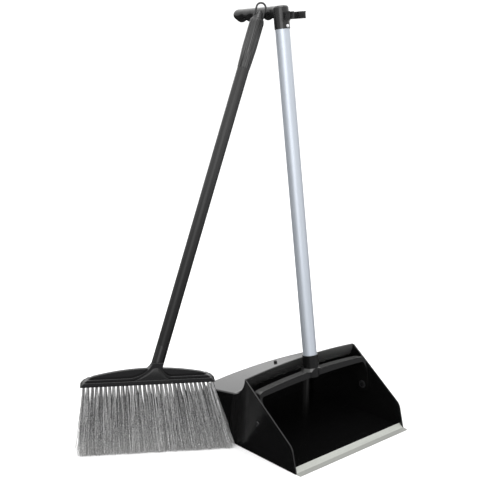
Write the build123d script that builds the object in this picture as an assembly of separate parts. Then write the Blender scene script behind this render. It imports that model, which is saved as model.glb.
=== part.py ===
from build123d import *
import os
from math import cos, pi, radians, sin, sqrt, tan

os.makedirs("parts", exist_ok=True)

# Upright dust pan with a swinging handle, and the broom that leans on its grip.
# Millimetres, +Z up, +X right, -Y towards the pan's lip. The origin is on the
# floor, under the middle of the pan. Each function makes one separate piece.

# ---- driving dimensions: pan ----
PAN_HALF = 138.5            # half of the pan's outside width
WALL = 2.5
LIP_Y = -130.0              # front edge of the rubber lip
REAR_Y = 130.0              # outside of the rear wall
TIP_Y = -120.0              # foot of the side walls' front edge
KNEE = (-109.0, 44.0)       # where the side wall's front edge bends back (y, z)
PEAK = (6.0, 128.2)         # top of the side wall's slanting edge (y, z)
CREST = (10.7, 129.6)       # top of the cove at the side walls (y, z)
COVE_R = 36.0               # radius of the cove that climbs from roof to crest
ROOF_SLOPE = 9.6            # degrees that the roof falls towards the rear
CROWN = 7.0                 # how much higher the roof is in the middle
CORNER_R = 22.0             # plan radius of the rear corners
SPOUT = (27.0, 107.0)       # small hollow boss on the roof (x, y)
SPOUT_R = 3.2
SPOUT_H = 3.6
SPOUT_BORE_R = 1.7
TONGUE_Y = (TIP_Y + 4.0, TIP_Y + 13.0)   # tongue that carries the rubber lip
TONGUE_Z = (1.0, 3.0)
LIP_GAP = 0.05              # clearance between the tongue and the lip's slot

# ---- driving dimensions: handle ----
PIVOT_Y = -24.0
PIVOT_Z = 59.0
LEAN = 8.02                 # degrees that the handle leans back on its stop
TUBE_R = 12.5
TUBE_WALL = 1.2
TUBE_FROM = 56.0            # along the handle, from the pivot
TUBE_TO = 698.0
PIN_R = 4.0
PIN_HEAD_R = 5.5
BOSS_R = 7.0                # low boss on the side wall under each pin's head
BOSS_H = 0.4
ARM_OUT = 134.7             # outer face of the yoke's arms
ARM_T = 4.0
ARM_R = 12.5                # half width of an arm, and its end radius
YOKE_TOP = 61.6
YOKE_ARCH_R = 1264.0
BAR_HALF = 8.5              # half depth of the yoke's crossbar
SOCKET_R = 14.0
SOCKET_TOP = 89.9
SCREW_AT = 74.0             # height of the socket's screw
SCREW_HOLE_R = 2.05
GRIP_AT = 693.8             # where the grip's centre line meets the tube's
GRIP_TILT = 3.62            # degrees that the grip tips up from square
COLLAR_R = 13.5
COLLAR_FROM = 665.5
COLLAR_TO = 705.0
RIVET_AT = 669.8
RIVET_HOLE_R = 1.65
CLIP_HOLE_R = 1.5
CLIP_RING_Y = -28.0         # centre of the broom clip's ring, in the grip's frame
CLIP_R = 10.45              # inside radius of the ring, for a 21 mm stick
CLIP_Z = -6.5
CLIP_H = 12.0
SADDLE_H = 16.0
SEAT_DEPTH = 2.6            # how far the clip screw's seat is sunk behind the ring

# ---- driving dimensions: broom ----
HEAD_AT = (-265.5, 118.0, 126.2)   # middle of the head's underside
HEAD_TURN = -34.1                  # degrees, from +X to the head's long axis
HEAD_HALF = 115.9
HEAD_TOP = 26.3
HEAD_DEPTH = 12.2                  # half depth of the head's lower bar
RIDGE_DEPTH = 8.4                  # half depth of the ridge
WEB_DEPTH = 3.4                    # half depth of the arched web
HEAD_EDGE_R = 0.9
BAR_TOP = 7.6                      # height of the lower bar
RIDGE = 4.2                        # height of the ridge above the bar
STICK_FOOT = (10.9, 0.0, 11.8)     # where the stick's axis meets the head's middle plane
STICK_TOUCH = (-26.3, 100.2, 741.0)  # where the stick leans beside the grip
STICK_R = 10.5
GUSSET_FROM = -35.0                # where the gusset leaves the bar, left of the neck
GUSSET_TO = 43.5                   # and right of it
GUSSET_TOP = 33.5
NECK_TO = 54.0                     # top of the neck, along the stick
NECK_R = 10.6
STICK_WALL = 0.8
INSERT_R = 7.9                     # threaded nose of the insert
INSERT_FROM = 15.0
SLEEVE_FROM = 551.0                # along the stick
SLEEVE_FULL = 587.0                # where the sleeve reaches its full width
SLEEVE_TO = 639.0
SLEEVE_R = 12.5
TUFTS = 31
TUFT_PITCH = 7.28
TUFT_R = 2.3
TUFT_ROWS = {"front": -7.5, "middle": 0.0, "rear": 7.5}
HOLE_DEPTH = 6.2
END_HOLE_DEPTH = 3.4               # the first and last holes, under the sloping ends
SPLAY = 1.191                      # spread of the tips over the roots, along the head
SWAY = 10.5                        # how far the tips lean to the right as a whole
ROW_SPREAD = 4.0                   # how far the outer rows' tips move out

SPAN = 400.0                       # longer than any piece that is cut with it


def handle_frame():
    """The pivot, with +Z up the leaning tube."""
    return Pos(0, PIVOT_Y, PIVOT_Z) * Rot(-LEAN, 0, 0)


def head_frame():
    """Middle of the broom head's underside, with +X along the head."""
    return Pos(*HEAD_AT) * Rot(0, 0, HEAD_TURN)


def stick_frame():
    """Foot of the stick, with +Z up the stick and +X towards the head's right end."""
    foot = (head_frame() * Pos(*STICK_FOOT)).position
    along = Vector(*STICK_TOUCH) - foot
    head_axis = Vector(1, 0, 0).rotate(Axis.Z, HEAD_TURN)
    sideways = head_axis - along * (head_axis.dot(along) / along.dot(along))
    return Plane(origin=foot, x_dir=sideways, z_dir=along).location


def side_prism(points, x_from, x_to, roundings=()):
    """A (y, z) outline extruded across the object, with some corners rounded."""
    face = make_face(Polyline(*points, close=True))
    for corner, radius in roundings:
        near = [v for v in face.vertices() if (Vector(*v) - Vector(*corner, 0)).length < 0.01]
        face = fillet(near, radius)
    on_side = Plane(origin=(x_from, 0, 0), x_dir=(0, 1, 0), z_dir=(1, 0, 0))
    return extrude(on_side * face, x_to - x_from)


def rod(radius, length, at, axis="Z"):
    """A round bar that starts at a point and runs along +X, +Y or +Z."""
    turn = {"X": Rot(0, 90, 0), "Y": Rot(-90, 0, 0), "Z": Rot(0, 0, 0)}[axis]
    bar = Cylinder(radius, length, align=(Align.CENTER, Align.CENTER, Align.MIN))
    return Pos(*at) * turn * bar


def block(x0, x1, y0, y1, z0, z1):
    corner = (Align.MIN, Align.MIN, Align.MIN)
    return Pos(x0, y0, z0) * Box(x1 - x0, y1 - y0, z1 - z0, align=corner)


# ---------------------------------------------------------------- pan

def pan_section(x, skin):
    """Outline of the pan's inside (skin = wall) or outside (skin = 0) at one x."""
    rise = CROWN * (1 - (x / PAN_HALF) ** 2)
    slope = radians(ROOF_SLOPE)
    centre_y = CREST[0] + COVE_R
    centre_z = CREST[1] + 1.0 + rise
    radius = COVE_R + skin
    middle = radians(180 + (90 - ROOF_SLOPE) / 2)
    foot = (centre_y - radius * sin(slope), centre_z - radius * cos(slope))
    rear_y = REAR_Y - skin
    rear_z = foot[1] - (rear_y - foot[0]) * tan(slope)
    side = (centre_y - radius, centre_z)
    bend = (centre_y + radius * cos(middle), centre_z + radius * sin(middle))
    top_z = CREST[1] + rise + 20 * skin
    front_y = TIP_Y - 20 * skin
    if skin:
        side_line = [Line(side, (side[0], top_z))]
    else:
        side = (centre_y - sqrt(radius ** 2 - 1), CREST[1] + rise)
        side_line = []
        top_z = side[1]
    base_z = skin if skin else -1.0
    edges = [Line((front_y, base_z), (rear_y, base_z)), Line((rear_y, base_z), (rear_y, rear_z)),
             Line((rear_y, rear_z), foot), ThreePointArc(foot, bend, side)]
    edges += side_line
    edges += [Line((side[0], top_z), (front_y, top_z)), Line((front_y, top_z), (front_y, base_z))]
    on_side = Plane(origin=(x, 0, 0), x_dir=(0, 1, 0), z_dir=(1, 0, 0))
    return on_side * make_face(edges)


def pan_form(skin):
    """The pan as a solid block, or the block that hollows it."""
    half = PAN_HALF - skin
    form = loft([pan_section(x, skin) for x in (-half, 0, half)])
    corners = [edge for edge in form.edges()
               if abs(edge.center().X) > half - 0.1 and edge.center().Y > REAR_Y - skin - 0.1]
    return fillet(corners, CORNER_R - skin)


def pan_body():
    """Thin moulded shell: floor, two side walls, rear wall, roof and cove."""
    outside = pan_form(0)
    rims = [edge for edge in outside.edges() if edge.center().Z > 70 and edge.center().Y > 45]
    outside = fillet([edge for edge in rims if edge.length > CORNER_R], 3.0)
    shell = outside - pan_form(WALL) - block(-SPAN, SPAN, -SPAN, SPAN, -10, 0)
    keep = side_prism([(TIP_Y, 0), (REAR_Y, 0), (REAR_Y, SPAN), (CREST[0], SPAN), (CREST[0], CREST[1]),
                       (PEAK[0], PEAK[1]), KNEE], -PAN_HALF, PAN_HALF, [(KNEE, 20.0)])
    inner = block(-PAN_HALF + WALL, PAN_HALF - WALL, TIP_Y, REAR_Y, -1, SPAN)
    shell = shell & (keep + inner)
    # tongue that carries the rubber lip
    shell -= block(-SPAN, SPAN, TIP_Y - 1, TIP_Y + 12, -1, WALL + 1) & inner
    shell += block(-PAN_HALF + WALL, PAN_HALF - WALL, *TONGUE_Y, *TONGUE_Z)
    # bosses, pivot holes and the handle's stops on both side walls
    stop_bar = handle_frame() * block(-SPAN, SPAN, ARM_R + 0.3, ARM_R + 8.3, 18, 40)
    for side in (-1, 1):
        out = side * PAN_HALF
        shell += rod(BOSS_R, BOSS_H, (min(out, out + side * BOSS_H), PIVOT_Y, PIVOT_Z), "X")
        wall_face = side * (PAN_HALF - WALL)
        reach = sorted((wall_face, side * (ARM_OUT - ARM_T)))
        shell += stop_bar & block(reach[0], reach[1], -60, 60, 0, 120)
        shell -= rod(PIN_R + 0.02, 12, (min(side * 130, side * 142), PIVOT_Y, PIVOT_Z), "X")
    # small hollow boss on the roof
    ray = Axis((SPOUT[0], SPOUT[1], SPAN), (0, 0, -1))
    roof_z = outside.find_intersection_points(ray)[0][0].Z
    spout = rod(SPOUT_R, SPOUT_H + 2.0, (SPOUT[0], SPOUT[1], roof_z - 2.0))
    shell += fillet(spout.edges().sort_by(Axis.Z)[-1], 0.7)
    shell -= rod(SPOUT_BORE_R, 60, (SPOUT[0], SPOUT[1], 60))
    return shell


def lip_strip():
    """Rubber scraper pushed on to the pan's front tongue."""
    slot_y = TONGUE_Y[0] - LIP_GAP
    slot_low = TONGUE_Z[0] - LIP_GAP
    slot_high = TONGUE_Z[1] + LIP_GAP
    outline = [(LIP_Y, 0), (TIP_Y + 11.5, 0), (TIP_Y + 11.5, slot_low), (slot_y, slot_low),
               (slot_y, slot_high), (TIP_Y + 8.5, slot_high), (TIP_Y + 8.5, 8.0),
               (TIP_Y - 0.3, 1.9), (LIP_Y, 0.5)]
    strip = side_prism(outline, -PAN_HALF + 0.8, PAN_HALF - 0.8)
    ends = block(-SPAN, SPAN, TIP_Y - 0.4, TIP_Y + 20, -1, 20)
    ends -= block(-PAN_HALF + WALL + 0.1, PAN_HALF - WALL - 0.1, -SPAN, SPAN, -1, 20)
    return strip - ends


def pivot_pin(side):
    """Headed pin through the side wall, the washer and the yoke's arm."""
    face = side * (PAN_HALF + BOSS_H)
    head_h = 1.8
    head = rod(PIN_HEAD_R, head_h, (min(face, face + side * head_h), PIVOT_Y, PIVOT_Z), "X")
    rim = head.edges().filter_by(GeomType.CIRCLE).sort_by(lambda e: abs(e.center().X))[-1]
    head = fillet(rim, head_h - 0.3)
    end = side * 127.2
    return head + rod(PIN_R, abs(face - end), (min(face, end), PIVOT_Y, PIVOT_Z), "X")


def pivot_washer(side):
    """Nylon washer that spaces the arm off the side wall."""
    start = side * (PAN_HALF - WALL)
    stop = side * (ARM_OUT + 0.3)
    at = (min(start, stop), PIVOT_Y, PIVOT_Z)
    return rod(9.0, 1.0, at, "X") - rod(PIN_R + 0.04, 1.0, at, "X")


def retaining_ring(side):
    """Push-on steel ring that keeps the arm on its pin, with three slots."""
    outer = side * (ARM_OUT - ARM_T - 0.3)
    at = (min(outer, outer - side * 1.0), PIVOT_Y, PIVOT_Z)
    ring = rod(7.5, 1.0, at, "X") - rod(PIN_R + 0.02, 1.0, at, "X")
    for turn in (0, 120, 240):
        slot = Pos(outer, PIVOT_Y, PIVOT_Z) * Rot(turn, 0, 0) * Pos(0, 0, 4.6) * Box(6, 1.2, 2.6)
        ring -= slot
    return ring


# ---------------------------------------------------------------- handle

def yoke_arch(x, drop=0.0):
    return YOKE_TOP - drop - x ** 2 / (2 * YOKE_ARCH_R)


def yoke():
    """Arched crossbar with two arms and the tube's socket, moulded in one."""
    arm_in = ARM_OUT - ARM_T
    bar_drop = 11.4
    shoulder = yoke_arch(ARM_OUT)
    under = YOKE_TOP - bar_drop - 4.4
    band = make_face([
        Line((ARM_OUT, -ARM_R), (ARM_OUT, shoulder)),
        ThreePointArc((ARM_OUT, shoulder), (0, YOKE_TOP), (-ARM_OUT, shoulder)),
        Line((-ARM_OUT, shoulder), (-ARM_OUT, -ARM_R)),
        Line((-ARM_OUT, -ARM_R), (-arm_in, -ARM_R)),
        Line((-arm_in, -ARM_R), (-arm_in, under)),
        ThreePointArc((-arm_in, under), (0, YOKE_TOP - bar_drop), (arm_in, under)),
        Line((arm_in, under), (arm_in, -ARM_R)),
        Line((arm_in, -ARM_R), (ARM_OUT, -ARM_R))])
    band = fillet([v for v in band.vertices() if abs(v.X) > arm_in + 1 and v.Y > 30], 11.0)
    band = fillet([v for v in band.vertices() if abs(abs(v.X) - arm_in) < 0.1 and v.Y > 30], 7.0)
    front = Plane(origin=(0, 0, 0), x_dir=(1, 0, 0), z_dir=(0, -1, 0))
    bail = extrude(front * band, ARM_R, both=True)
    side = side_prism([(-ARM_R, 0), (ARM_R, 0), (ARM_R, 32), (BAR_HALF, 44), (BAR_HALF, 70),
                       (-BAR_HALF, 70), (-BAR_HALF, 44), (-ARM_R, 32)], -SPAN, SPAN,
                      [((ARM_R, 32), 10), ((-ARM_R, 32), 10)])
    side += rod(ARM_R, 2 * SPAN, (-SPAN, 0, 0), "X")
    bail = bail & side
    # the crossbar is a channel, open underneath, with ribs between its bays
    rib_pitch = 26.0
    for side_of in (-1, 1):
        for bay in range(4):
            near = 18.0 + bay * rib_pitch
            far = near + rib_pitch - 2.5
            x0, x1 = sorted((side_of * near, side_of * far))
            bail -= block(x0, x1, -BAR_HALF + 2.5, BAR_HALF - 2.5, 30, yoke_arch(far, 3.0))
    bail += rod(SOCKET_R, SOCKET_TOP - 50.0, (0, 0, 50.0))
    flare = Pos(0, 0, YOKE_TOP + 2.5) * Cone(SOCKET_R + 5, SOCKET_R, 5.0)
    bail += flare & block(-SPAN, SPAN, -SOCKET_R, SOCKET_R, 0, 99)
    bail -= rod(TUBE_R + 0.05, SPAN, (0, 0, TUBE_FROM))
    for side_of in (-1, 1):
        bail -= rod(PIN_R + 0.06, 12, (min(side_of * 126, side_of * 138), 0, 0), "X")
    bail -= rod(SCREW_HOLE_R, 20, (0, 5, SCREW_AT), "Y")
    return handle_frame() * bail


def screw(shank_r, head_r, head_h, length):
    """Pan-head screw along -Z, its head's underside at the origin."""
    head = Pos(0, 0, head_h / 2) * Cylinder(head_r, head_h)
    head = fillet(head.edges().sort_by(Axis.Z)[-1], head_h * 0.45)
    cross = Box(head_r * 1.1, 0.9, 1.6) + Box(0.9, head_r * 1.1, 1.6)
    head -= Pos(0, 0, head_h) * cross
    shank = Pos(0, 0, -length / 2) * Cylinder(shank_r, length)
    point = Pos(0, 0, -length - shank_r / 2) * Rot(180, 0, 0) * Cone(shank_r, 0.2, shank_r)
    return head + shank + point


def socket_screw():
    """Screw through the back of the socket and the tube into the plug."""
    return handle_frame() * Pos(0, SOCKET_R, SCREW_AT) * Rot(-90, 0, 0) * screw(1.9, 3.8, 2.4, 9.0)


def handle_tube():
    """Aluminium tube with the holes for its screw and its rivet."""
    tube = rod(TUBE_R, TUBE_TO - TUBE_FROM, (0, 0, TUBE_FROM))
    tube -= rod(TUBE_R - TUBE_WALL, TUBE_TO - TUBE_FROM, (0, 0, TUBE_FROM))
    tube -= rod(SCREW_HOLE_R, 20, (0, 5, SCREW_AT), "Y")
    tube -= rod(RIVET_HOLE_R, 20, (0, -25, RIVET_AT), "Y")
    tube -= rod(CLIP_HOLE_R, 20, (0, -25, GRIP_AT + CLIP_Z), "Y")
    return handle_frame() * tube


def tube_foot_plug():
    """Plastic plug inside the tube's foot that the screw bites into."""
    plug = rod(TUBE_R - TUBE_WALL - 0.05, 32, (0, 0, TUBE_FROM))
    plug = chamfer(plug.edges().sort_by(Axis.Z)[-1], 1.5)
    plug -= rod(SCREW_HOLE_R - 0.1, 20, (0, 0, SCREW_AT), "Y")
    for turn in range(4):
        plug -= Rot(0, 0, 45 + 90 * turn) * block(8.6, 14, -1.5, 1.5, TUBE_FROM - 1, TUBE_FROM + 40)
    return handle_frame() * plug


def grip_body():
    """Collar over the tube's top and the hand grip with its finger lobes."""
    top_r = 11.6
    lobe_first = 32.3
    lobe_pitch = 23.1
    straight = [4.0 + lobe_pitch / 4 * step for step in range(19)]
    stations = [(s, 1.0) for s in straight]
    last = straight[-1]
    stations += [(last + 4.2, 0.93), (last + 7.0, 0.77), (last + 8.6, 0.52), (last + 9.2, 0.22)]
    sections = []
    for along, scale in stations:
        wave = cos(2 * pi * (along - lobe_first) / lobe_pitch)
        below = 9.6 + (2.2 * wave if along > lobe_first - 0.6 * lobe_pitch else 0.6)
        half_w = 10.9 + 0.35 * wave
        middle = (top_r - below) / 2
        plane = Plane(origin=(0, along, middle), x_dir=(1, 0, 0), z_dir=(0, 1, 0))
        sections.append(plane * Ellipse(half_w * scale, (top_r + below) / 2 * scale))
    grip = Pos(0, 0, GRIP_AT) * Rot(GRIP_TILT, 0, 0) * loft(sections)
    collar = rod(COLLAR_R, COLLAR_TO - COLLAR_FROM, (0, 0, COLLAR_FROM))
    collar = fillet(collar.edges().sort_by(Axis.Z)[-1], 4.5)
    collar = chamfer(collar.edges().sort_by(Axis.Z)[0], 0.5)
    body = collar + grip
    body -= rod(TUBE_R + 0.05, TUBE_TO - COLLAR_FROM + 0.2, (0, 0, COLLAR_FROM))
    body -= rod(RIVET_HOLE_R, 20, (0, -25, RIVET_AT), "Y")
    body -= rod(CLIP_HOLE_R, 3.5, (0, -15, GRIP_AT + CLIP_Z), "Y")
    return handle_frame() * body


def grip_rivet():
    """Domed blind rivet through the collar and the tube, facing forward."""
    head = Pos(0, 0, 0.8) * Cylinder(3.0, 1.6)
    head = fillet(head.edges().sort_by(Axis.Z)[-1], 1.3)
    shank = Pos(0, 0, -2.5) * Cylinder(1.6, 5.0)
    crimp = Pos(0, 0, -3.2) * Cylinder(2.3, 1.0)
    rivet = head + shank + crimp
    return handle_frame() * Pos(0, -COLLAR_R, RIVET_AT) * Rot(90, 0, 0) * rivet


def broom_clip():
    """Sprung plastic C with flared jaws, on a saddle that hugs the collar."""
    low = CLIP_Z - CLIP_H / 2
    ring = rod(12.9, CLIP_H, (0, CLIP_RING_Y, low))
    for rim_low in (low, low + CLIP_H - 2.0):
        ring += rod(13.9, 2.0, (0, CLIP_RING_Y, rim_low))
    ring -= rod(CLIP_R, CLIP_H, (0, CLIP_RING_Y, low))
    reach = 9.3
    jaw_turn = 24
    jaw_middle = -5.4
    jaw_length = 12.6
    rim_z = CLIP_H / 2 - 1
    mouth_y = CLIP_RING_Y - 6.2
    ring -= block(-SPAN, SPAN, -SPAN, mouth_y, -SPAN, SPAN)
    for side in (-1, 1):
        jaw = Pos(side * reach, mouth_y, CLIP_Z) * Rot(0, 0, side * jaw_turn)
        plate = Pos(0, jaw_middle, 0) * Box(2.4, jaw_length, CLIP_H)
        plate += Pos(side * 0.6, jaw_middle, rim_z) * Box(3.4, jaw_length, 2.0)
        plate += Pos(side * 0.6, jaw_middle, -rim_z) * Box(3.4, jaw_length, 2.0)
        ring += (jaw * plate) - rod(CLIP_R, CLIP_H, (0, CLIP_RING_Y, low))
    saddle = rod(COLLAR_R + 2.2, SADDLE_H, (0, 0, CLIP_Z - SADDLE_H / 2))
    wedge = Pos(0, 0, CLIP_Z) * Rot(0, 0, 45) * Pos(-SPAN / 2, -SPAN / 2, 0) * Box(SPAN, SPAN, SADDLE_H)
    bridge = block(-6.0, 6.0, CLIP_RING_Y + CLIP_R, 0, low, low + CLIP_H)
    clip = ring + (saddle & wedge) + bridge
    clip = Rot(GRIP_TILT, 0, 0) * clip
    clip -= rod(COLLAR_R + 0.1, 80, (0, 0, -40))
    hole = rod(1.65, 30, (0, -25, CLIP_Z), "Y")
    seat = rod(3.2, CLIP_R + SEAT_DEPTH, (0, CLIP_RING_Y, CLIP_Z), "Y")
    clip -= hole + seat
    return handle_frame() * Pos(0, 0, GRIP_AT) * clip


def clip_screw():
    """Screw that holds the clip's saddle to the collar, sunk in the ring's back."""
    seat_y = CLIP_RING_Y + CLIP_R + SEAT_DEPTH
    place = Pos(0, seat_y, GRIP_AT + CLIP_Z) * Rot(90, 0, 0)
    return handle_frame() * place * screw(1.45, 2.9, 1.7, 3.6)


# ---------------------------------------------------------------- broom

def head_outline():
    """Front view of the broom head: an arched top between two pointed ends."""
    shoulder = (92.0, 16.2)
    bend = (106.8, 8.9)
    end = (HEAD_HALF, 0.0)
    return make_face([
        Line((-end[0], 0), end),
        ThreePointArc(end, bend, shoulder),
        ThreePointArc(shoulder, (0, HEAD_TOP), (-shoulder[0], shoulder[1])),
        ThreePointArc((-shoulder[0], shoulder[1]), (-bend[0], bend[1]), (-end[0], 0))])


def neck_axis(z):
    """Centre of the neck (x, y) at one height, in the head's frame."""
    along = head_frame().inverse() * stick_frame() * Pos(0, 0, NECK_TO)
    share = (z - STICK_FOOT[2]) / (along.position.Z - STICK_FOOT[2])
    return (STICK_FOOT[0] + share * (along.position.X - STICK_FOOT[0]), share * along.position.Y)


def bar_outline():
    """Front view of the head's lower bar."""
    return make_face(Polyline((-HEAD_HALF, 0), (HEAD_HALF, 0), (HEAD_HALF, BAR_TOP),
                              (-HEAD_HALF, BAR_TOP), close=True))


def ridge_outline():
    """Front view of the ridge over the bar, which sweeps up both sides of the neck."""
    flat = BAR_TOP + RIDGE
    top = GUSSET_TOP + 4.0
    middle = neck_axis(top)[0]
    left = middle - NECK_R + 1.5
    right = middle + NECK_R - 1.5
    left_start = (GUSSET_FROM, flat)
    right_start = (GUSSET_TO, flat)
    return make_face([
        Line((-HEAD_HALF, 0), (HEAD_HALF, 0)),
        Line((HEAD_HALF, 0), (HEAD_HALF, flat)),
        Line((HEAD_HALF, flat), right_start),
        TangentArc(right_start, (right, top), tangent=(-1, 0)),
        Line((right, top), (left, top)),
        TangentArc(left_start, (left, top), tangent=(1, 0)),
        Line(left_start, (-HEAD_HALF, flat)),
        Line((-HEAD_HALF, flat), (-HEAD_HALF, 0))])


def slab(face, half_depth, rounding):
    """A front-view outline as a plate of some depth with rounded front and rear edges."""
    front = Plane(origin=(0, 0, 0), x_dir=(1, 0, 0), z_dir=(0, -1, 0))
    plate = extrude(front * face, half_depth, both=True)
    faces = [side for side in plate.faces() if abs(side.normal_at().Y) > 0.99]
    rims = [edge for side in faces for edge in side.edges() if edge.center().Z > 0.1]
    return fillet(rims, rounding)


def gusset_side(start, end, height):
    """How far a gusset's curved side has come in at some height above the bar."""
    rise = GUSSET_TOP - BAR_TOP
    radius = ((end - start) ** 2 + rise ** 2) / (2 * rise)
    reach = sqrt(2 * radius * height - height ** 2)
    return start + reach if end > start else start - reach


def neck_gusset():
    """The smooth web that narrows from the bar into the round neck."""
    top_x = neck_axis(GUSSET_TOP)[0]
    sections = []
    for height in (1.0, 3.0, 6.5, 11.5, 18.0, 25.0, GUSSET_TOP - BAR_TOP):
        z = BAR_TOP + height
        share = height / (GUSSET_TOP - BAR_TOP)
        left = gusset_side(GUSSET_FROM, top_x - NECK_R - 0.6, height)
        right = gusset_side(GUSSET_TO, top_x + NECK_R + 0.6, height)
        depth = HEAD_DEPTH - 0.6 - (HEAD_DEPTH - 1.2 - NECK_R) * share
        y = neck_axis(z)[1] * share ** 0.6
        corner = 2.5 + (NECK_R - 2.6) * share ** 0.7
        place = Pos((left + right) / 2, y, z)
        sections.append(place * RectangleRounded(right - left, 2 * depth, min(corner, depth - 0.1)))
    foot = extrude(sections[0], -4.0)
    return loft(sections) + foot


def broom_head():
    """Head with its neck, moulded in one, drilled for the tufts and bored for the stick."""
    outline = head_outline()
    head = slab(outline, WEB_DEPTH, HEAD_EDGE_R)
    beside_neck = Pos(20, 40) * Rectangle(80, 50)
    head += slab(ridge_outline() & (outline + beside_neck), RIDGE_DEPTH, HEAD_EDGE_R)
    head += slab(bar_outline() & outline, HEAD_DEPTH, HEAD_EDGE_R) + neck_gusset()
    to_world = head_frame()
    head = to_world * head
    stem = Pos(0, 0, NECK_TO / 2 - 1) * Cone(NECK_R + 0.2, NECK_R, NECK_TO + 2)
    stem = stick_frame() * stem
    head += stem - to_world * block(-SPAN, SPAN, -SPAN, SPAN, -SPAN, 3)
    head -= stick_frame() * rod(INSERT_R + 0.15, SPAN, (0, 0, INSERT_FROM - 1.0))
    for y in TUFT_ROWS.values():
        for column in range(TUFTS):
            hole = rod(TUFT_R + 0.05, hole_depth(column) + 1, (tuft_x(column), y, -1))
            head -= to_world * hole
    return head


def tuft_x(column):
    return (column - (TUFTS - 1) / 2) * TUFT_PITCH


def hole_depth(column):
    return END_HOLE_DEPTH if column in (0, TUFTS - 1) else HOLE_DEPTH


def bristle_row(y):
    """One row of tufts as a comb: pegs in the head's holes over a splayed curtain."""
    floor = -HEAD_AT[2]
    comb_top = -16.0
    half = (TUFTS - 1) / 2 * TUFT_PITCH + TUFT_R
    tip_y = y + ROW_SPREAD * y / max(TUFT_ROWS.values())
    left = -half * SPLAY + SWAY
    right = half * SPLAY + SWAY - (4.0 if y > 0 else 0.0)
    top = Pos(0, y, comb_top) * Rectangle(2 * half + 1.0, 2 * TUFT_R + 1.0)
    foot = Pos((left + right) / 2, tip_y, floor) * Rectangle(right - left, 2 * TUFT_R + 1.6)
    row = loft([foot, top])
    for column in range(TUFTS):
        peg_top = hole_depth(column) - 1.2
        row += rod(TUFT_R, peg_top - comb_top + 1, (tuft_x(column), y, comb_top - 1))
    return head_frame() * row


def tuft_staples():
    """The wire staples that hold the tufts, one at the end of each hole."""
    staples = []
    for y in TUFT_ROWS.values():
        for column in range(TUFTS):
            place = head_frame() * Pos(tuft_x(column), y, hole_depth(column) - 0.6)
            staples.append(place * Box(3.6, 0.5, 0.9))
    return Compound(staples)


def thread_insert():
    """Plug in the stick's foot whose threaded nose screws into the neck."""
    nose = rod(INSERT_R, NECK_TO - INSERT_FROM, (0, 0, INSERT_FROM))
    thread_pitch = 4.0
    for turn in range(8):
        at = (0, 0, INSERT_FROM + 3.0 + turn * thread_pitch)
        nose -= rod(INSERT_R + 1.0, 1.4, at) - rod(INSERT_R - 0.8, 1.4, at)
    plug = rod(STICK_R - 0.85, 30, (0, 0, NECK_TO + 0.1))
    return stick_frame() * (nose + rod(INSERT_R, 0.2, (0, 0, NECK_TO)) + plug)


def broom_stick():
    """Plastic-coated steel tube."""
    start = NECK_TO + 0.1
    length = SLEEVE_TO - 1.0 - start
    tube = rod(STICK_R, length, (0, 0, start)) - rod(STICK_R - STICK_WALL, length, (0, 0, start))
    return stick_frame() * tube


def grip_sleeve():
    """Soft sleeve with long flutes, tapering down to the stick."""
    bore = STICK_R + 0.05
    profile = [(bore, SLEEVE_FROM), (bore + 0.45, SLEEVE_FROM + 1.0), (SLEEVE_R, SLEEVE_FULL),
               (SLEEVE_R, SLEEVE_TO - 6.5), (SLEEVE_R - 0.7, SLEEVE_TO - 2.6), (SLEEVE_R - 2.2, SLEEVE_TO),
               (bore - 1.5, SLEEVE_TO), (bore - 1.5, SLEEVE_TO - 0.8), (bore, SLEEVE_TO - 0.8)]
    side = Plane(origin=(0, 0, 0), x_dir=(1, 0, 0), z_dir=(0, -1, 0))
    sleeve = revolve(side * make_face(Polyline(*profile, close=True)), Axis.Z)
    flutes = 16
    flute_length = 62
    middle = (SLEEVE_FULL + SLEEVE_TO) / 2 - 3
    for turn in range(flutes):
        cut = Pos(SLEEVE_R + 0.25, 0, middle) * Cylinder(0.8, flute_length)
        sleeve -= Rot(0, 0, 360 / flutes * turn) * cut
    return stick_frame() * sleeve


def hanging_cap():
    """Pointed cap with the oval hoop that the broom hangs by."""
    wire = 1.65
    leg = 7.9
    crown_z = SLEEVE_TO + 20.4
    cap = Pos(0, 0, SLEEVE_TO + 8.2) * Cone(8.9, 2.6, 14.2)
    cap += rod(8.9, 1.05, (0, 0, SLEEVE_TO + 0.05))
    cap += rod(STICK_R - 2.0, 14, (0, 0, SLEEVE_TO - 13))
    path = Line((leg, 0, SLEEVE_TO + 0.8), (leg, 0, crown_z))
    path += ThreePointArc((leg, 0, crown_z), (0, 0, crown_z + leg), (-leg, 0, crown_z))
    path += Line((-leg, 0, crown_z), (-leg, 0, SLEEVE_TO + 0.8))
    start = Plane(origin=(leg, 0, SLEEVE_TO + 0.8), z_dir=(0, 0, 1))
    hoop = sweep(start * Circle(wire), path)
    return stick_frame() * (cap + hoop)


pieces = {
    "pan_body": pan_body(),
    "lip_strip": lip_strip(),
    "yoke": yoke(),
    "socket_screw": socket_screw(),
    "handle_tube": handle_tube(),
    "tube_foot_plug": tube_foot_plug(),
    "grip_body": grip_body(),
    "grip_rivet": grip_rivet(),
    "broom_clip": broom_clip(),
    "clip_screw": clip_screw(),
    "broom_head": broom_head(),
    "tuft_staples": tuft_staples(),
    "thread_insert": thread_insert(),
    "broom_stick": broom_stick(),
    "grip_sleeve": grip_sleeve(),
    "hanging_cap": hanging_cap(),
}
for side_name, side_sign in (("left", -1), ("right", 1)):
    pieces["pivot_pin_" + side_name] = pivot_pin(side_sign)
    pieces["pivot_washer_" + side_name] = pivot_washer(side_sign)
    pieces["retaining_ring_" + side_name] = retaining_ring(side_sign)
for row_name, row_y in TUFT_ROWS.items():
    pieces["bristle_row_" + row_name] = bristle_row(row_y)

for node, shape in pieces.items():
    export_step(shape, "parts/" + node + ".step")
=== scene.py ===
import math
import bpy
from mathutils import Matrix, Vector


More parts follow.
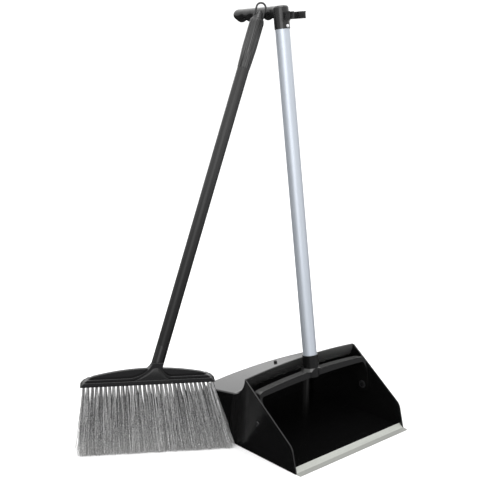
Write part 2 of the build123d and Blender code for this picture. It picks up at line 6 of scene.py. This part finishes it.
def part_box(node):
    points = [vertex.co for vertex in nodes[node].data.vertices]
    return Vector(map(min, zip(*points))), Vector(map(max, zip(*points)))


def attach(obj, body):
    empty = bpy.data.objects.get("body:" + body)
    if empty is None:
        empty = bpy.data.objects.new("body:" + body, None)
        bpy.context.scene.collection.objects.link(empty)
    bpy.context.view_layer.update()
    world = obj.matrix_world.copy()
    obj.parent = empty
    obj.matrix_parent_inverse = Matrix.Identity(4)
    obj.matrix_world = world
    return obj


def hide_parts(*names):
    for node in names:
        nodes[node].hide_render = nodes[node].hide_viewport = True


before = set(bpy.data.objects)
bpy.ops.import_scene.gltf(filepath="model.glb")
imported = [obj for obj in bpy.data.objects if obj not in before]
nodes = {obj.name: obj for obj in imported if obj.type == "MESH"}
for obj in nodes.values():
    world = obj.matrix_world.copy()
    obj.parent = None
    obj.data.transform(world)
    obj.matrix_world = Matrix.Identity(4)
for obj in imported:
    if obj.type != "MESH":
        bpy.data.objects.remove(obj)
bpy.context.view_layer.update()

scene = bpy.context.scene

# ------------------------------------------------------------------ camera
# The camera stands to the front left, a little above the top of the handle, and looks
# down on the set through a long lens.
look_turn = math.radians(41.26)
look_down = math.radians(14.27)
camera_data = bpy.data.cameras.new("camera")
camera_data.sensor_width = 36.0
camera_data.lens = 75.07
camera_data.clip_end = 2000.0
camera = bpy.data.objects.new("camera", camera_data)
camera.location = (-1.2094, -1.1981, 0.7906)
camera.rotation_euler = (math.pi / 2 - look_down, 0, -look_turn)
scene.collection.objects.link(camera)
scene.camera = camera
scene.view_settings.view_transform = "Standard"


# ------------------------------------------------------------------ studio
# A white floor that reaches the horizon, under a white sky that is brightest behind the
# set. Below the horizon, gloss shows a room that is dark to the left and behind, and paler
# in front and to the right.
class Socket:
    """A node's output that can be added, taken away, multiplied and raised, as a number can."""

    def __init__(self, tree, socket):
        self.tree = tree
        self.socket = socket

    def _maths(self, operation, other, swap=False):
        node = self.tree.nodes.new("ShaderNodeMath")
        node.operation = operation
        values = [other, self] if swap else [self, other]
        for slot, value in zip(node.inputs, values):
            if isinstance(value, Socket):
                self.tree.links.new(value.socket, slot)
            else:
                slot.default_value = value
        return Socket(self.tree, node.outputs[0])

    def __add__(self, other):
        return self._maths("ADD", other)

    __radd__ = __add__

    def __sub__(self, other):
        return self._maths("SUBTRACT", other)

    def __rsub__(self, other):
        return self._maths("SUBTRACT", other, swap=True)

    def __mul__(self, other):
        return self._maths("MULTIPLY", other)

    __rmul__ = __mul__

    def __pow__(self, other):
        return self._maths("POWER", other)


class Tree:
    """A node tree, to which nodes are added one call at a time."""

    def __init__(self, tree):
        self.tree = tree

    def node(self, kind, output=0, settings=None, **inputs):
        """A node's type, its settings, then values or links by name, or by number as _0."""
        made = self.tree.nodes.new(kind)
        for name, value in (settings or {}).items():
            setattr(made, name, value)
        for name, value in inputs.items():
            slot = made.inputs[int(name[1:])] if name[0] == "_" else made.inputs[name.replace("_", " ")]
            if isinstance(value, Socket):
                self.tree.links.new(value.socket, slot)
            else:
                slot.default_value = value
        return Socket(self.tree, made.outputs[output])

    def axis(self, letter, vector):
        """One axis of a vector, as a number."""
        return self.node("ShaderNodeSeparateXYZ", output=letter, Vector=vector)

    def step(self, value, low, high):
        """Smoothly from 0 at low to 1 at high."""
        return self.node("ShaderNodeMapRange", settings={"interpolation_type": "SMOOTHSTEP"},
                         Value=value, From_Min=low, From_Max=high)

    def blend(self, factor, first, second):
        """A colour between two colours, or between two colour sockets."""
        first = first if isinstance(first, Socket) else (*first, 1.0)
        second = second if isinstance(second, Socket) else (*second, 1.0)
        return self.node("ShaderNodeMix", output=2, settings={"data_type": "RGBA"},
                         _0=factor, _6=first, _7=second)


class Finish(Tree):
    """One material: its shader, and the nodes that feed it from object coordinates."""

    def __init__(self, name, colour, roughness, metallic=0.0, specular=0.5):
        self.material = bpy.data.materials.new(name)
        self.material.use_nodes = True
        super().__init__(self.material.node_tree)
        self.shader = self.tree.nodes["Principled BSDF"]
        self.set("Base Color", (*colour, 1.0))
        self.set("Roughness", roughness)
        self.set("Metallic", metallic)
        self.set("Specular IOR Level", specular)
        self.place = self.node("ShaderNodeTexCoord", output="Object")

    def set(self, name, value):
        slot = self.shader.inputs[name]
        if isinstance(value, Socket):
            self.tree.links.new(value.socket, slot)
        else:
            slot.default_value = value

    def noise(self, scale, detail=3.0, roughness=0.5, stretch=(1, 1, 1), turn=(0, 0, 0)):
        """Noise from 0 to 1, finer where the scale is larger."""
        place = self.node("ShaderNodeMapping", Vector=self.place, Rotation=turn)
        place = self.node("ShaderNodeMapping", Vector=place, Scale=stretch)
        return self.node("ShaderNodeTexNoise", Vector=place, Scale=scale, Detail=detail,
                         Roughness=roughness)

    def facing(self):
        """The way the surface faces, as a vector."""
        return self.node("ShaderNodeTexCoord", output="Normal")

    def bump(self, height, distance, strength):
        self.set("Normal", self.node("ShaderNodeBump", Height=height, Distance=distance, Strength=strength))

    def put_on(self, *things):
        for thing in things:
            if not thing.material_slots:
                thing.data.materials.append(self.material)
            for slot in thing.material_slots:
                slot.material = self.material


floor_reach = 800.0
floor_gap = 0.0005
floor_corners = [(x, y, 0) for x, y in ((-floor_reach, -floor_reach), (floor_reach, -floor_reach),
                                        (floor_reach, floor_reach), (-floor_reach, floor_reach))]
floor_mesh = bpy.data.meshes.new("floor")
floor_mesh.from_pydata(floor_corners, [], [(0, 1, 2, 3)])
floor = bpy.data.objects.new("floor", floor_mesh)
floor.location.z = -floor_gap
floor.visible_glossy = False
scene.collection.objects.link(floor)
floor_finish = Finish("studio_floor", (0.95, 0.95, 0.95), 0.9, specular=0.0)
floor_tone = floor_finish.blend(floor_finish.noise(3.0), (0.94, 0.94, 0.94), (0.96, 0.96, 0.96))
floor_finish.set("Base Color", floor_tone)
floor_finish.put_on(floor)

sky_white = (1.0, 1.0, 1.0)
bright_sky = (1.45, 1.45, 1.45)
dark_side = (0.012, 0.012, 0.013)
pale_side = (0.62, 0.62, 0.64)
sky_strength = 1.1
world = bpy.data.worlds.new("studio")
scene.world = world
world.use_nodes = True
sky = Tree(world.node_tree)
toward = sky.node("ShaderNodeTexCoord", output="Generated")
east = sky.axis("X", toward)
north = sky.axis("Y", toward)
height = sky.axis("Z", toward)
to_right = east * math.cos(look_turn) - north * math.sin(look_turn)
away = east * math.sin(look_turn) + north * math.cos(look_turn)
below = sky.blend(sky.step(to_right - away, 0.15, 1.15), dark_side, pale_side)
above = sky.blend(sky.step(away, 0.0, 0.8), sky_white, bright_sky)
room = sky.blend(sky.step(height, -0.12, 0.14), below, above)
seen_directly = sky.node("ShaderNodeLightPath", output="Is Camera Ray")
room = sky.blend(seen_directly, room, sky_white)
sky.tree.links.new(room.socket, sky.tree.nodes["Background"].inputs["Color"])
sky.tree.nodes["Background"].inputs["Strength"].default_value = sky_strength


def soft_light(name, at, aim, size, power):
    """A square light that points at a place on the set."""
    data = bpy.data.lights.new(name, "AREA")
    data.shape = "SQUARE"
    data.size = size
    data.energy = power
    lamp = bpy.data.objects.new(name, data)
    lamp.location = at
    lamp.rotation_euler = (Vector(aim) - Vector(at)).to_track_quat("-Z", "Y").to_euler()
    scene.collection.objects.link(lamp)


soft_light("key_softbox", (-2.0, -1.55, 1.25), (-0.1, 0.0, 0.45), 1.9, 24.0)
soft_light("top_softbox", (-0.35, -0.35, 2.5), (-0.05, 0.0, 0.4), 1.2, 22.0)
soft_light("side_softbox", (-1.5, 0.3, 2.2), (0.0, 0.0, 0.6), 0.5, 5.0)

# ------------------------------------------------------------------ pan_body
# The dust pan is one thin moulding in black polypropylene from a polished tool. It is
# glossy, with the faint waviness of thin walls, fine scratches and a little dust. The
# crest's front, above the yoke, is coloured grey as a painted highlight of the cove's reflection.
clean_black = (0.0028, 0.0028, 0.0029)
speck_grey = (0.022, 0.022, 0.021)
crest_highlight_grey = (0.065, 0.065, 0.064)
crest_highlight_from = 0.100
crest_highlight_full = 0.112
pan_finish = Finish("pan_black", clean_black, 0.16)
cloud = pan_finish.noise(22.0, 4.0, 0.6)
scratch = pan_finish.step(pan_finish.noise(260.0, 2.0, 0.6, stretch=(1.0, 0.05, 1.0)), 0.60, 0.74)
pan_finish.set("Roughness", 0.11 + 0.10 * cloud + 0.10 * scratch)
dust = pan_finish.step(pan_finish.noise(900.0, 3.0, 0.75), 0.64, 0.82)
pan_tone = pan_finish.blend(dust * cloud, clean_black, speck_grey)
across = pan_finish.axis("X", pan_finish.place)
climb = pan_finish.axis("Z", pan_finish.place)
facing_front = pan_finish.axis("Y", pan_finish.facing()) * -1.0
# Painted highlight: forward faces of the crest above the yoke are coloured grey, standing in for the cove's
# reflection.
crest_painted_highlight = pan_finish.step(climb, crest_highlight_from, crest_highlight_full) * pan_finish.step(facing_front, 0.25, 0.6)
crest_painted_highlight = crest_painted_highlight * (0.25 + 0.75 * pan_finish.step(across, -0.13, 0.13)) * (0.8 + 0.4 * cloud)
pan_finish.set("Base Color", pan_finish.blend(crest_painted_highlight, pan_tone, crest_highlight_grey))
pan_finish.bump(pan_finish.noise(14.0, 1.5) + 0.01 * scratch, 0.0006, 0.25)
pan_finish.put_on(nodes["pan_body"])

# ------------------------------------------------------------------ lip_strip
# The scraper lip is extruded soft rubber in pale grey with specks of filler. It is pushed
# on to the pan's front tongue, and its thin blade is coloured darker as painted shade.
lip_finish = Finish("lip_rubber", (0.50, 0.51, 0.48), 0.62, specular=0.35)
speck = lip_finish.step(lip_finish.noise(700.0, 3.0, 0.8), 0.50, 0.68)
smear = lip_finish.noise(40.0, 3.0, 0.6, stretch=(0.25, 1.0, 1.0))
blade_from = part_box("pan_body")[0][1]
depth_along = lip_finish.axis("Y", lip_finish.place)
# Painted shade: the blade, in front of the pan's front edge, is coloured darker.
lip_blade_shade = 1.0 - lip_finish.step(depth_along, blade_from - 0.0012, blade_from + 0.0004)
lip_tone = lip_finish.blend(smear, (0.30, 0.31, 0.285), (0.44, 0.45, 0.42))
lip_tone = lip_finish.blend(lip_blade_shade * 0.8, lip_tone, (0.22, 0.225, 0.21))
lip_finish.set("Base Color", lip_finish.blend(0.55 * speck, lip_tone, (0.20, 0.20, 0.19)))
lip_finish.set("Roughness", 0.5 + 0.25 * smear)
lip_finish.bump(lip_finish.noise(1600.0, 2.0), 0.0001, 0.5)
lip_finish.put_on(nodes["lip_strip"])

# ------------------------------------------------------------------ pivots
# Two headed pins, polished black like the pan, carry the yoke. Behind each are a natural
# nylon washer and a push-on ring of blackened spring steel.
pin_finish = Finish("pin_black", (0.007, 0.007, 0.0075), 0.2)
pin_finish.set("Roughness", 0.15 + 0.2 * pin_finish.noise(240.0))
pin_finish.put_on(nodes["pivot_pin_left"], nodes["pivot_pin_right"])
ring_finish = Finish("blackened_steel", (0.02, 0.02, 0.021), 0.5, metallic=0.5)
ring_finish.set("Roughness", 0.42 + 0.2 * ring_finish.noise(500.0))
ring_finish.put_on(nodes["retaining_ring_left"], nodes["retaining_ring_right"])
nylon_finish = Finish("nylon_natural", (0.62, 0.60, 0.54), 0.45)
milky = nylon_finish.noise(160.0)
nylon_finish.set("Base Color", nylon_finish.blend(milky, (0.58, 0.56, 0.50), (0.70, 0.68, 0.61)))
nylon_finish.set("Roughness", 0.35 + 0.2 * milky)
nylon_finish.put_on(nodes["pivot_washer_left"], nodes["pivot_washer_right"])

# ------------------------------------------------------------------ yoke
# The yoke is a glass-filled nylon moulding: two arms, an arched channel and the tube's
# socket. Its surface is finely grained, and faces that look up are coloured grey as a painted highlight.
yoke_finish = Finish("yoke_black", (0.004, 0.004, 0.004), 0.2, specular=0.25)
grain = yoke_finish.noise(1500.0, 2.0, 0.6)
rubbed = yoke_finish.noise(30.0, 3.0)
yoke_finish.set("Roughness", 0.13 + 0.10 * rubbed + 0.05 * grain)
yoke_tone = yoke_finish.blend(grain, (0.002, 0.002, 0.002), (0.005, 0.005, 0.005))
yoke_highlight_grey = (0.055, 0.055, 0.054)
facing_up = yoke_finish.axis("Z", yoke_finish.facing())
# Painted highlight: faces that look up are coloured grey.
yoke_painted_highlight = yoke_finish.step(facing_up, 0.55, 0.85) * (0.6 + 0.8 * rubbed)
yoke_finish.set("Base Color", yoke_finish.blend(yoke_painted_highlight, yoke_tone, yoke_highlight_grey))
yoke_finish.bump(grain, 0.00006, 0.5)
yoke_finish.put_on(nodes["yoke"])

# ------------------------------------------------------------------ fasteners
# Zinc-plated screws hold the socket and the clip, and zinc-plated wire holds the tufts.
# The plating is a soft grey with cloudy patches.
zinc_finish = Finish("zinc_steel", (0.55, 0.55, 0.53), 0.32, metallic=1.0)
patch = zinc_finish.noise(420.0, 3.0, 0.6)
zinc_finish.set("Base Color", zinc_finish.blend(patch, (0.44, 0.44, 0.42), (0.66, 0.66, 0.64)))
zinc_finish.set("Roughness", 0.24 + 0.2 * patch)
zinc_finish.put_on(nodes["socket_screw"], nodes["clip_screw"], nodes["tuft_staples"])

# ------------------------------------------------------------------ handle_tube
# The handle is a drawn and clear-anodised aluminium tube. It has the drawing's long fine
# lines and the satin, slightly blue sheen of the anodising. A nylon plug fills its foot.
tube_lean = math.radians(8.02)
tube_finish = Finish("satin_aluminium", (0.50, 0.53, 0.60), 0.42, metallic=0.72)
lines = tube_finish.noise(520.0, 3.0, 0.65, stretch=(1.0, 1.0, 0.012), turn=(tube_lean, 0, 0))
haze = tube_finish.noise(14.0, 3.0, 0.55)
tube_finish.set("Base Color", tube_finish.blend(lines, (0.45, 0.487, 0.54), (0.57, 0.612, 0.665)))
tube_finish.set("Roughness", 0.36 + 0.12 * lines + 0.06 * haze)
tube_finish.bump(lines, 0.00004, 0.35)
tube_finish.put_on(nodes["handle_tube"])
nylon_finish.put_on(nodes["tube_foot_plug"])

# ------------------------------------------------------------------ grip_body
# Collar and hand grip are one moulding in black plastic over the tube's top. Hands have
# polished it, so its sheen is uneven, and its top is coloured grey as a painted highlight.
grip_finish = Finish("grip_black", (0.011, 0.011, 0.0115), 0.34)
polish = grip_finish.noise(34.0, 4.0, 0.6)
fine = grip_finish.noise(1300.0, 2.0)
grip_finish.set("Roughness", 0.15 + 0.14 * polish)
grip_highlight_grey = (0.06, 0.06, 0.06)
grip_tone = grip_finish.blend(polish, (0.005, 0.005, 0.005), (0.012, 0.012, 0.012))
# Painted highlight: the grip's upward faces are coloured grey.
grip_painted_highlight = grip_finish.step(grip_finish.axis("Z", grip_finish.facing()), 0.2, 0.9) * (0.4 + 1.2 * polish)
grip_finish.set("Base Color", grip_finish.blend(grip_painted_highlight, grip_tone, grip_highlight_grey))
grip_finish.bump(fine, 0.00006, 0.4)
grip_finish.put_on(nodes["grip_body"])

# ------------------------------------------------------------------ grip_rivet
# One domed aluminium blind rivet pins the collar to the tube.
rivet_finish = Finish("rivet_aluminium", (0.86, 0.87, 0.88), 0.28, metallic=0.8)
rivet_finish.set("Roughness", 0.2 + 0.2 * rivet_finish.noise(900.0))
rivet_finish.put_on(nodes["grip_rivet"])

# ------------------------------------------------------------------ broom_clip
# The clip is sprung acetal, moulded with a rim at each edge, and screwed to the collar.
clip_finish = Finish("clip_black", (0.010, 0.010, 0.0105), 0.3)
clip_sheen = clip_finish.noise(90.0, 3.0)
clip_finish.set("Roughness", 0.2 + 0.2 * clip_sheen)
clip_finish.bump(clip_finish.noise(1200.0, 2.0), 0.00005, 0.4)
clip_finish.put_on(nodes["broom_clip"])

# ------------------------------------------------------------------ broom_head
# The head is a solid polypropylene moulding with a ridge along each shoulder. It is
# satin, and dustier than the rest.
head_finish = Finish("head_black", (0.003, 0.003, 0.0032), 0.25, specular=0.32)
head_sheen = head_finish.noise(26.0, 4.0, 0.6)
head_dust = head_finish.step(head_finish.noise(1000.0, 3.0, 0.7), 0.62, 0.8)
head_finish.set("Roughness", 0.16 + 0.12 * head_sheen)
head_tone = head_finish.blend(head_dust * 0.6, (0.0025, 0.0025, 0.0027), (0.03, 0.03, 0.029))
head_finish.set("Base Color", head_tone)
head_finish.bump(head_finish.noise(1400.0, 2.0), 0.00006, 0.4)
head_finish.put_on(nodes["broom_head"])
head_low, head_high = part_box("broom_head")
head_turn = math.radians(-34.1)
head_middle = ((head_low[0] + head_high[0]) / 2, (head_low[1] + head_high[1]) / 2, head_low[2])
head_place = Matrix.Translation(head_middle) @ Matrix.Rotation(head_turn, 4, "Z")

# ------------------------------------------------------------------ bristle rows
# Each row is thirty-one tufts of grey polymer filament, folded over a staple and driven
# into the head. They leave the holes tight, spread at once, and their tips are flagged.
# The last ones on the right bend along the pan's side wall.
bristle_finish = Finish("bristle_grey", (0.3, 0.3, 0.3), 0.4, specular=0.4)
tone = bristle_finish.node("ShaderNodeAttribute", output="Fac", settings={"attribute_name": "tone"})
along = bristle_finish.node("ShaderNodeAttribute", output="Fac", settings={"attribute_name": "along"})
crimp = bristle_finish.noise(500.0, 2.0, 0.7)
lightness = 0.80 * tone ** 1.7 - 0.03 + (0.5 + 2.6 * along) * (crimp - 0.5)
shade = bristle_finish.blend(lightness, (0.035, 0.035, 0.036), (0.92, 0.92, 0.92))
bristle_finish.set("Base Color", bristle_finish.blend(along ** 3.0 * 0.35, shade, (0.80, 0.80, 0.79)))
bristle_finish.set("Roughness", 0.34 + 0.2 * crimp)


class Growth(Tree):
    """A Geometry Nodes tree with named inputs."""

    def __init__(self, name):
        super().__init__(bpy.data.node_groups.new(name, "GeometryNodeTree"))
        self.tree.interface.new_socket("Geometry", in_out="OUTPUT", socket_type="NodeSocketGeometry")
        self.source = self.tree.nodes.new("NodeGroupInput")
        self.identifiers = {}

    def input(self, name, value, kind="NodeSocketFloat"):
        made = self.tree.interface.new_socket(name, in_out="INPUT", socket_type=kind)
        made.default_value = value
        self.identifiers[name] = made.identifier
        return Socket(self.tree, self.source.outputs[name])

    def random(self, low, high, seed):
        """A random number between two values, one for each point."""
        return self.node("FunctionNodeRandomValue", output=1, _2=low, _3=high, Seed=seed)

    def store(self, geometry, name, value):
        return self.node("GeometryNodeStoreNamedAttribute", Geometry=geometry, Name=name, Value=value)

    def read(self, name):
        return self.node("GeometryNodeInputNamedAttribute", Name=name)

    def vector(self, x, y, z):
        return self.node("ShaderNodeCombineXYZ", X=x, Y=y, Z=z)

    def wave(self, operation, value):
        return self.node("ShaderNodeMath", settings={"operation": operation}, _0=value)

    def end(self, geometry, material):
        """Makes the instances real and sets the material."""
        whole = self.node("GeometryNodeRealizeInstances", Geometry=geometry)
        whole = self.node("GeometryNodeSetMaterial", Geometry=whole, Material=material)
        sink = self.tree.nodes.new("NodeGroupOutput")
        self.tree.links.new(whole.socket, sink.inputs[0])

    def grow(self, name, place, **values):
        """The tree's result as a plain mesh object, put in its place."""
        host = bpy.data.objects.new(name + "_host", bpy.data.meshes.new(name + "_host"))
        scene.collection.objects.link(host)
        modifier = host.modifiers.new("growth", "NODES")
        modifier.node_group = self.tree
        for key, value in values.items():
            modifier[self.identifiers[key.replace("_", " ")]] = value
        bpy.context.view_layer.update()
        mesh = bpy.data.meshes.new_from_object(host.evaluated_get(bpy.context.evaluated_depsgraph_get()))
        host.modifiers.remove(modifier)
        bpy.data.objects.remove(host)
        mesh.name = name
        mesh.transform(place)
        made = bpy.data.objects.new(name, mesh)
        scene.collection.objects.link(made)
        return made


bristles = Growth("bristles")
row_y = bristles.input("row y", 0.0)
seed = bristles.input("seed", 1, "NodeSocketInt")
tufts = bristles.input("tufts", 31, "NodeSocketInt")
pitch = bristles.input("pitch", 0.00728)
filaments = bristles.input("filaments", 62, "NodeSocketInt")
thickness = bristles.input("thickness", 0.00034)
tuft_radius = bristles.input("tuft radius", 0.0016)
root_height = bristles.input("root height", 0.0030)
length = bristles.input("length", 0.1262)
spread = bristles.input("spread", 0.0036)
splay = bristles.input("splay", 1.191)
sway = bristles.input("sway", 0.0105)
row_splay = bristles.input("row splay", 1.5)
lean_reach = bristles.input("lean reach", 0.0012)
stray_reach = bristles.input("stray reach", 0.0085)
wall_reach = bristles.input("wall reach", 0.1255)
wall_push = bristles.input("wall push", 1.2)
depth_spread = bristles.input("depth spread", 0.003)
depth_lean = bristles.input("depth lean", 0.0012)
depth_stray = bristles.input("depth stray", 0.0022)
side_bow = bristles.input("side bow", 0.003)
depth_bow = bristles.input("depth bow", 0.0015)
tip_gap = bristles.input("tip gap", 0.0004)
shortfall = bristles.input("shortfall", 0.006)
tip_taper = bristles.input("tip taper", 0.45)
clumps_per_metre = bristles.input("clumps per metre", 800.0)

row_start = bristles.vector((tufts - 1.0) * pitch * -0.5, row_y, 0.0)
row = bristles.node("GeometryNodeMeshLine", settings={"mode": "OFFSET"}, Count=tufts,
                    Start_Location=row_start, Offset=bristles.vector(pitch, 0.0, 0.0))
row = bristles.node("GeometryNodeMeshToPoints", Mesh=row)
row = bristles.store(row, "tuft lean", bristles.random(-1.0, 1.0, seed))
row = bristles.store(row, "tuft tone", bristles.random(0.0, 1.0, seed + 1.0))
row = bristles.store(row, "tuft depth", bristles.random(-1.0, 1.0, seed + 2.0))
row = bristles.node("GeometryNodeDuplicateElements", settings={"domain": "POINT"}, Geometry=row,
                    Amount=filaments)
turn = bristles.random(0.0, math.tau, seed + 3.0)
out = bristles.random(0.0, 1.0, seed + 4.0) ** 0.5
row = bristles.store(row, "side", bristles.wave("COSINE", turn) * out)
row = bristles.store(row, "fore", bristles.wave("SINE", turn) * out)
row = bristles.store(row, "stray", bristles.random(-1.0, 1.0, seed + 5.0) ** 3.0)
row = bristles.store(row, "stray depth", bristles.random(-1.0, 1.0, seed + 6.0))
row = bristles.store(row, "bow", bristles.random(-1.0, 1.0, seed + 7.0))
row = bristles.store(row, "short", bristles.random(0.0, 1.0, seed + 8.0) ** 5.0)
row = bristles.store(row, "tuft x", bristles.axis("X", bristles.node("GeometryNodeInputPosition")))
clump_at = (bristles.read("tuft x") + bristles.read("side") * tuft_radius) * clumps_per_metre
clump = bristles.node("ShaderNodeTexNoise", Vector=bristles.vector(clump_at, seed * 3.7, 0.0), Scale=1.0)
own_tone = bristles.random(0.0, 1.0, seed + 9.0) * 0.5 + bristles.read("tuft tone") * 0.15
row = bristles.store(row, "tone", own_tone + (clump - 0.5) * 1.9 + 0.18)
strand = bristles.node("GeometryNodeCurvePrimitiveLine", Start=(0, 0, 0), End=(0, 0, -1))
strand = bristles.node("GeometryNodeResampleCurve", Curve=strand, Count=9)
strands = bristles.node("GeometryNodeInstanceOnPoints", Points=row, Instance=strand)
strands = bristles.node("GeometryNodeRealizeInstances", Geometry=strands)

run = bristles.node("GeometryNodeSplineParameter")
opening = run ** 0.55
bow = bristles.wave("SINE", run * math.pi) * run * bristles.read("bow")
tuft_centre = bristles.read("tuft x")
tip_shift = tuft_centre * (splay - 1.0) + sway + bristles.read("tuft lean") * lean_reach
x = (tuft_centre + bristles.read("side") * (tuft_radius + opening * spread) + run * tip_shift
     + run * run * bristles.read("stray") * stray_reach + bow * side_bow)
tip_depth = row_y * (row_splay - 1.0) + bristles.read("tuft depth") * depth_lean
y = (row_y + bristles.read("fore") * (tuft_radius + opening * depth_spread) + run * tip_depth
     + run * run * bristles.read("stray depth") * depth_stray + bow * depth_bow)
# Past the plane of the pan's side wall, a filament is pushed back along its row.
past_wall = x * math.cos(head_turn) - y * math.sin(head_turn) - wall_reach
past_wall = bristles.node("ShaderNodeMath", settings={"operation": "MAXIMUM"}, _0=past_wall, _1=0.0)
x = x - past_wall * wall_push
z = root_height - run * (length + root_height - tip_gap - bristles.read("short") * shortfall)
strands = bristles.node("GeometryNodeSetPosition", Geometry=strands, Position=bristles.vector(x, y, z))
strands = bristles.store(strands, "along", run)
taper = 1.0 - run ** 5.0 * tip_taper
section = bristles.node("GeometryNodeCurvePrimitiveCircle", Resolution=3, Radius=thickness)
strands = bristles.node("GeometryNodeCurveToMesh", Curve=strands, Profile_Curve=section, Scale=taper,
                        Fill_Caps=True)
bristles.end(strands, bristle_finish.material)

row_places = {"front": (-0.0075, 0.0012), "middle": (0.0, 0.0036), "rear": (0.0075, 0.0036)}
for number, (row_name, (depth, wander)) in enumerate(row_places.items(), start=1):
    filled = bristles.grow("bristles_" + row_name, head_place, row_y=depth, lean_reach=wander,
                           length=head_low[2], seed=20 * number)
    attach(filled, "broom")
    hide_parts("bristle_row_" + row_name)

# ------------------------------------------------------------------ broom_stick
# The stick is a thin steel tube in a shrunk-on black plastic coat, which shows the
# tube's fine lines and a slight orange peel. Its upper part is coloured greyer as painted
# light from above. A nylon insert screws it to the head.
stick_turn = (0.0, math.radians(-20.9), 0.0)
stick_finish = Finish("stick_black", (0.008, 0.008, 0.0085), 0.36, specular=0.22)
streak = stick_finish.noise(330.0, 3.0, 0.6, stretch=(1.0, 1.0, 0.02), turn=stick_turn)
peel = stick_finish.noise(700.0, 2.0, 0.5)
stick_finish.set("Roughness", 0.28 + 0.14 * streak)
top_light_from = 0.15
top_light_full = 0.70
# Painted light: the stick is coloured greyer towards its top, as if lit from above.
stick_painted_top_light = stick_finish.step(stick_finish.axis("Z", stick_finish.place), top_light_from, top_light_full)
stick_base_tone = stick_finish.blend(streak, (0.002, 0.002, 0.002), (0.007, 0.007, 0.0072))
stick_lit_tone = stick_finish.blend(streak, (0.014, 0.014, 0.014), (0.046, 0.046, 0.046))
stick_finish.set("Base Color", stick_finish.blend(stick_painted_top_light, stick_base_tone, stick_lit_tone))
stick_finish.bump(peel + 0.5 * streak, 0.00008, 0.4)
stick_finish.put_on(nodes["broom_stick"])
nylon_finish.put_on(nodes["thread_insert"])

# ------------------------------------------------------------------ grip_sleeve
# The sleeve is soft black vinyl with long flutes, pushed over the stick's top. It is
# matt and dark grey, with dark streaks along it as painted shade in its flutes.
sleeve_finish = Finish("sleeve_black", (0.02, 0.02, 0.02), 0.5, specular=0.25)
handled = sleeve_finish.noise(28.0, 4.0, 0.65)
flute_relief_and_shade = sleeve_finish.noise(620.0, 2.0, 0.6, stretch=(1.0, 1.0, 0.015), turn=stick_turn)
# Painted shade: dark streaks along the sleeve stand in for the shade in its flutes.
sleeve_tone = sleeve_finish.blend(flute_relief_and_shade * 3.0 - 1.0, (0.004, 0.004, 0.004), (0.075, 0.075, 0.075))
sleeve_finish.set("Base Color", sleeve_tone)
sleeve_finish.set("Roughness", 0.28 + 0.2 * handled)
sleeve_finish.bump(flute_relief_and_shade + 0.15 * sleeve_finish.noise(1100.0, 2.0), 0.0004, 0.6)
sleeve_finish.put_on(nodes["grip_sleeve"])

# ------------------------------------------------------------------ hanging_cap
# The cap and its hoop are one tough black moulding plugged into the stick's top.
cap_finish = Finish("cap_black", (0.012, 0.012, 0.0125), 0.35)
cap_finish.set("Roughness", 0.28 + 0.18 * cap_finish.noise(80.0))
cap_finish.bump(cap_finish.noise(1200.0, 2.0), 0.00005, 0.4)
cap_finish.put_on(nodes["hanging_cap"])
